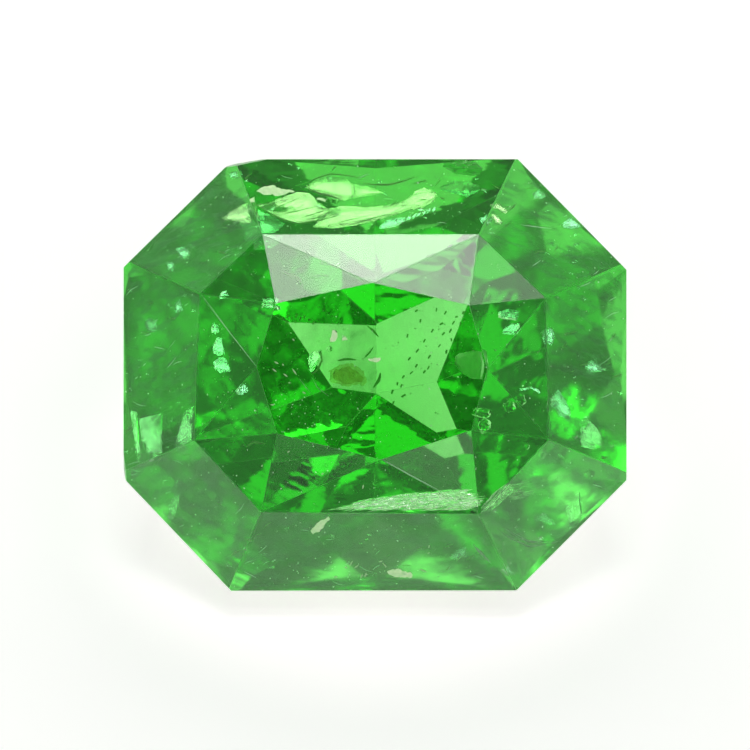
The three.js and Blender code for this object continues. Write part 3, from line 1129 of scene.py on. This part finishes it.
def cracks_piece(name, cracks, layers, ragged, seed, material):
    """Makes one piece of cracks, each of so many like gaps, one behind the other."""
    shape = bmesh.new()
    for index, (upper, lower, depth, *light) in enumerate(cracks):
        for layer in range(layers):
            add_crack(shape, upper, lower, depth + LAYER_STEP * layer, *light,
                      ragged=ragged, seed=seed + index)
    closed_piece(name, shape, material)


def threads_piece(name, threads, material):
    """Makes one piece of threads."""
    shape = bmesh.new()
    for line, width, depth in threads:
        add_thread(shape, line, width, depth)
    closed_piece(name, shape, material)


def rods_piece(name, tree, sheet, sizes, direction, turn, seed, material):
    """Makes one piece of rods over a sheet. The sizes are the rods' spacing, length and width, in
    millimetres, and how many there are to the square metre at most.
    """
    spacing, length, width, density = sizes
    mesh = run_tree(tree, sheet, {
        "Spacing": spacing * MM, "Length": length * MM, "Width": width * MM, "Density": density,
        "Direction": direction, "Turn": turn, "Seed": seed, "Material": material}, name)
    finished(name, mesh, material)


class GARNET_OT_stone(Operator):
    """Makes the polished stone from the frame's facets"""
    bl_idname = "garnet.stone"
    bl_label = "Polished stone"

    def execute(self, context):
        settings = context.scene.garnet_stone
        shell = merged_stone()
        wear = shell.faces.layers.float.new("wear")
        wave = shell.faces.layers.float.new("wave")
        for face in shell.faces:
            lean = lean_of(face.normal)
            over_feather = is_over_feather(face.normal)
            beside_window = lean > WINDOW_FROM and face.normal.dot(ALONG) < BESIDE_WINDOW_ALONG
            if over_feather or STARS_FROM < lean <= MAINS_FROM:
                face[wear] = settings.star_dullness
            elif MAINS_FROM < lean < MAINS_TO:
                face[wear] = settings.main_dullness
            elif GIRDLE_FROM < lean < GIRDLE_TO:
                face[wear] = settings.girdle_dullness
            face[wave] = (WAVES_CALM if beside_window or over_feather else
                          WAVES_BELOW if lean > GIRDLE_FROM else
                          WAVES_ON_MAINS if lean > MAINS_FROM else 0.0)
        made = bmesh.ops.bevel(
            shell, geom=shell.edges[:], offset=settings.edge_width / 2, offset_type="WIDTH",
            segments=1, affect="EDGES", clamp_overlap=True)
        for face in made["faces"]:
            face[wear] = settings.edge_dullness
        piece = closed_piece("stone", shell, polished_garnet(settings))
        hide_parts(NODE)
        return {"FINISHED"}


class GARNET_OT_specks(Operator):
    """Scatters pale specks through the stone: fine haze everywhere, and coarse ones in clouds"""
    bl_idname = "garnet.specks"
    bl_label = "Pale specks"

    def execute(self, context):
        settings = context.scene.garnet_inclusions
        tree = speck_tree()
        material = pale_crystal("Included_calcite_specks", "e4f2d8", "fbfff4")
        for name, count, size, cloud in (
                ("specks", settings.speck_count, settings.speck_size, 1.1),
                ("haze", settings.haze_count, settings.haze_size, 0.6)):
            mesh = run_tree(tree, plain_mesh(merged_stone(), "speck_body"), {
                "Count": count, "Smallest": 0.3 * size, "Largest": size, "Margin": 0.05 * MM,
                "Cloud size": cloud * MM, "Cloud limit": 0.5, "Seed": settings.seed,
                "Material": material}, name)
            finished(name, mesh, material)
        return {"FINISHED"}


class GARNET_OT_dust(Operator):
    """Scatters fine white dust and powder-filled nicks over the crown, thicker in some places"""
    bl_idname = "garnet.dust"
    bl_label = "Dust and nicks"

    def execute(self, context):
        tree = rod_tree()
        material = pale_crystal("White_dust_in_nicks", "90c890", "e8ffe8")
        crown = merged_stone()
        bmesh.ops.delete(crown, context="FACES", geom=[
            face for face in crown.faces if lean_of(face.normal) > CROWN_TO])
        for name, sheet, spacing, size, density in (
                ("dust", plain_mesh(crown, "crown"), 0.1, 0.030, 9e6),
                ("dust_left", sheet_mesh("dust_left", DUSTY_PATCH, ON_CROWN), 0.03, 0.028, 9e7),
                ("dust_low", sheet_mesh("dust_low", DUSTY_EDGE, ON_CROWN), 0.03, 0.026, 6e7)):
            rods_piece(name, tree, sheet, (spacing, size, 0.5 * size, density), ACROSS - ALONG,
                       1.2, context.scene.garnet_inclusions.seed, material)
        return {"FINISHED"}


class GARNET_OT_needles(Operator):
    """Lays the dark needles of the bright middle"""
    bl_idname = "garnet.needles"
    bl_label = "Dark needles"

    def execute(self, context):
        shape = bmesh.new()
        for x, y in NEEDLES:
            depth = steady_noise((x, y), *NEEDLE_DEPTHS)
            half = Vector(NEEDLE_HALF) * steady_noise((y, -x), *NEEDLE_SHARES)
            half.rotate(Matrix.Rotation(steady_noise((-y, x), *NEEDLE_TURNS), 2))
            add_prism(shape, seen_inside(x - half.x, y - half.y, depth),
                      seen_inside(x + half.x, y + half.y, depth + NEEDLE_TILT),
                      steady_noise((y, x), *NEEDLE_WIDTHS) * PIXEL)
        closed_piece("needles", shape, dark_needle_and_painted_shade())
        return {"FINISHED"}


class GARNET_OT_crystals(Operator):
    """Makes the rounded clear crystals, the short pale dashes and the long pale crystal"""
    bl_idname = "garnet.crystals"
    bl_label = "Included crystals"

    def execute(self, context):
        shape = bmesh.new()
        for index, (px, py, wide, high) in enumerate(LUMPS):
            sizes = (wide * PIXEL, high * PIXEL, 0.7 * min(wide, high) * PIXEL)
            add_lump(shape, seen_inside(px, py, LUMP_DEPTH), sizes,
                     context.scene.garnet_inclusions.seed + index)
        closed_piece("clear_crystals", shape, clear_crystal())
        threads_piece("dashes", [(dash, 1.6, DASH_DEPTH) for dash in DASHES],
                      pale_crystal("Polishing_powder_dashes", "88ac80", "b8d4a8"))
        cracks_piece("long_crystal", [LONG_CRYSTAL], 2, 0.5, 0, air_film(
            "Frosted_face_of_a_quartz_blade", 0.1, 0.0006, 0.1, "a0f898"))
        return {"FINISHED"}


class GARNET_OT_cracks(Operator):
    """Makes the thin cracks that mirror a light or tint what lies behind them"""
    bl_idname = "garnet.cracks"
    bl_label = "Feather and glints"

    def execute(self, context):
        for name, cracks, layers, ragged, film in (
                ("feather", FEATHER.values(), 2, 1.0,
                 air_film("Air_film_in_the_feather", 0.12, 0.002, 0.1, "d8f8bc")),
                ("glints", [*GLINTS.values(), *map(ladder_rung, range(RUNGS))], 2, 1.0,
                 air_film("Air_film_in_small_cracks", 0.08, 0.0008, 0.1, "a0ffc8")),
                ("bars", BARS.values(), 1, 0.5,
                 air_film("Air_film_in_straight_cracks", 0.6, 0.0006, 0.05, "88f090")),
                ("olive_plate", [OLIVE_PLATE], 1, 1.0,
                 air_film("Iron_stained_air_film", 0.3, 0.0006, 0.3, "407808")),
                ("stain", STAINS.values(), 1, 3.0, stained_film())):
            cracks_piece(name, cracks, layers, ragged,
                         context.scene.garnet_inclusions.seed, film)
        return {"FINISHED"}


class GARNET_OT_veils(Operator):
    """Makes the faint veils that lie a little way under the crown's mains, save the top one"""
    bl_idname = "garnet.veils"
    bl_label = "Veils"

    def execute(self, context):
        depth = context.scene.garnet_inclusions.veil_depth
        shell = merged_stone()
        shape = bmesh.new()
        for face in shell.faces:
            if is_over_feather(face.normal) or not is_main(face.normal):
                continue
            centre = face.calc_center_median()
            middle = centre - face.normal * depth
            front, back = (
                [shape.verts.new(middle + (vertex.co - centre) * VEIL_SHARE - face.normal * gap)
                 for vertex in face.verts] for gap in (0.0, VEIL_THICKNESS * MM))
            shape.faces.new(front)
            shape.faces.new(back[::-1])
            for i, j in zip(range(len(front)), [*range(1, len(front)), 0]):
                shape.faces.new((front[j], front[i], back[i], back[j]))
        shell.free()
        closed_piece("veils", shape, droplet_veil())
        return {"FINISHED"}


class GARNET_OT_flecks(Operator):
    """Strews bright flecks, dark needles and scratches over the crown's mains"""
    bl_idname = "garnet.flecks"
    bl_label = "Flecks and scratches"

    def execute(self, context):
        settings = context.scene.garnet_inclusions
        shape = bmesh.new()
        for start, _, end, share in marks_on_mains(
                settings.fleck_count, FLECK_LENGTHS, settings.seed):
            side = (end - start).orthogonal().normalized() * (0.8 + 1.1 * share)
            add_crack(shape, (start - side, end - 0.5 * side), (start + 0.5 * side, end + side),
                      0.06 + 0.2 * share, ripple=0.004, seed=100 * share)
        closed_piece("flecks", shape,
                     air_film("Air_film_in_flecks", 0.08, 0.001, 0.1, "a8ffc0"))
        for name, lengths, width, depth, material in (
                ("dark_flecks", (3, 14), 1.3, 0.12, dark_needle_and_painted_shade()),
                ("scratches", (3, 16), 0.7, ON_CROWN,
                 pale_crystal("White_powder_in_scratches", "78b080", "b0dcb4"))):
            marks = marks_on_mains(settings.fleck_count // 2, lengths, settings.seed + len(name))
            threads_piece(name, [(line, width * (0.6 + 0.8 * share), depth)
                                 for *line, share in marks], material)
        return {"FINISHED"}


class GARNET_OT_pits(Operator):
    """Makes the white polishing powder that is caught in shallow pits of the crown, and a painted
    highlight
    """
    bl_idname = "garnet.pits"
    bl_label = "Powder in pits"

    def execute(self, context):
        shape = bmesh.new()
        for index, pit in enumerate(PITS.values()):
            add_pit(shape, *pit, index)
        closed_piece("pits", shape, pale_crystal("Polishing_powder_pits_and_painted_highlight", "94d888", "e8ffd0"))
        return {"FINISHED"}


class GARNET_OT_threads(Operator):
    """Makes the pale lines, two of them painted edge highlights, and the dark threads, partly
    painted rim shade
    """
    bl_idname = "garnet.threads"
    bl_label = "Lines and rims"

    def execute(self, context):
        threads_piece("pale_lines_and_painted_highlights", PALE_THREADS.values(),
                      pale_crystal("Pale_lines_and_painted_edge_highlights", "8cb894", "b8dcbc"))
        threads_piece("dark_rods_and_painted_rim_shade", DARK_THREADS.values(), dark_needle_and_painted_shade())
        return {"FINISHED"}


class GARNET_OT_fissure(Operator):
    """Makes the long healed crack of bright fibres near the stone's front edge"""
    bl_idname = "garnet.fissure"
    bl_label = "Healed crack"

    def execute(self, context):
        tree = rod_tree()
        film = air_film("Air_in_fine_tubes", 0.2, 0.0005, 0.08, "f0ffc0")
        for name, patch, depth, spacing, length, width, turn in (
                ("fibres", FISSURE_PATCH, 0.12, 0.022, 0.34, 0.016, 0.08),
                ("deep_fibres", FISSURE_PATCH, 0.3, 0.022, 0.4, 0.024, 0.1),
                ("end_fibres", FISSURE_END_PATCH, 0.1, 0.032, 0.22, 0.010, 0.25)):
            start, end = (seen_inside(*spot, depth) for spot in FISSURE_LINE)
            rods_piece(name, tree, sheet_mesh(name, patch, depth, -0.05),
                       (spacing, length, width, 3e9), (end - start).normalized(), turn,
                       context.scene.garnet_inclusions.seed + 3, film)
        return {"FINISHED"}


class GARNET_OT_stage(Operator):
    """Makes the floor, the lights and the camera"""
    bl_idname = "garnet.stage"
    bl_label = "Floor, lights and camera"

    def execute(self, context):
        scene = context.scene
        add_floor(scene.garnet_stage)
        for name, place in SOFTBOXES.items():
            add_softbox("softbox_" + name, *place)
        for name, place in CARDS.items():
            add_card(name, *place)
        add_room(scene)
        add_camera(scene)
        scene.view_settings.view_transform = "Standard"
        scene.cycles.max_bounces = 32
        scene.cycles.transmission_bounces = 32
        scene.cycles.glossy_bounces = 16
        scene.cycles.transparent_max_bounces = 16
        return {"FINISHED"}


class GARNET_PT_panel(Panel):
    """Lists the garnet's settings and operators"""
    bl_idname = "GARNET_PT_panel"
    bl_label = "Tsavorite garnet"
    bl_space_type = "VIEW_3D"
    bl_region_type = "UI"
    bl_category = "Garnet"

    def draw(self, context):
        for group in GROUPS:
            settings = getattr(context.scene, group)
            box = self.layout.box()
            for name in settings.bl_rna.properties.keys():
                if name not in ("rna_type", "name"):
                    box.prop(settings, name)
        for operator in OPERATORS:
            self.layout.operator(operator.bl_idname)


GROUPS = {
    "garnet_stone": StoneSettings,
    "garnet_inclusions": InclusionSettings,
    "garnet_stage": StageSettings,
}
OPERATORS = (
    GARNET_OT_stone, GARNET_OT_specks, GARNET_OT_dust, GARNET_OT_needles, GARNET_OT_crystals,
    GARNET_OT_cracks, GARNET_OT_veils, GARNET_OT_flecks, GARNET_OT_pits, GARNET_OT_threads,
    GARNET_OT_fissure, GARNET_OT_stage)


def register():
    for kind in (*GROUPS.values(), *OPERATORS, GARNET_PT_panel):
        bpy.utils.register_class(kind)
    for name, kind in GROUPS.items():
        setattr(bpy.types.Scene, name, PointerProperty(type=kind))


def unregister():
    for name in GROUPS:
        delattr(bpy.types.Scene, name)
    for kind in (GARNET_PT_panel, *reversed(OPERATORS), *GROUPS.values()):
        bpy.utils.unregister_class(kind)


def main():
    register()
    for operator in OPERATORS:
        group, name = operator.bl_idname.split(".")
        getattr(getattr(bpy.ops, group), name)()


if __name__ == "__main__":
    main()
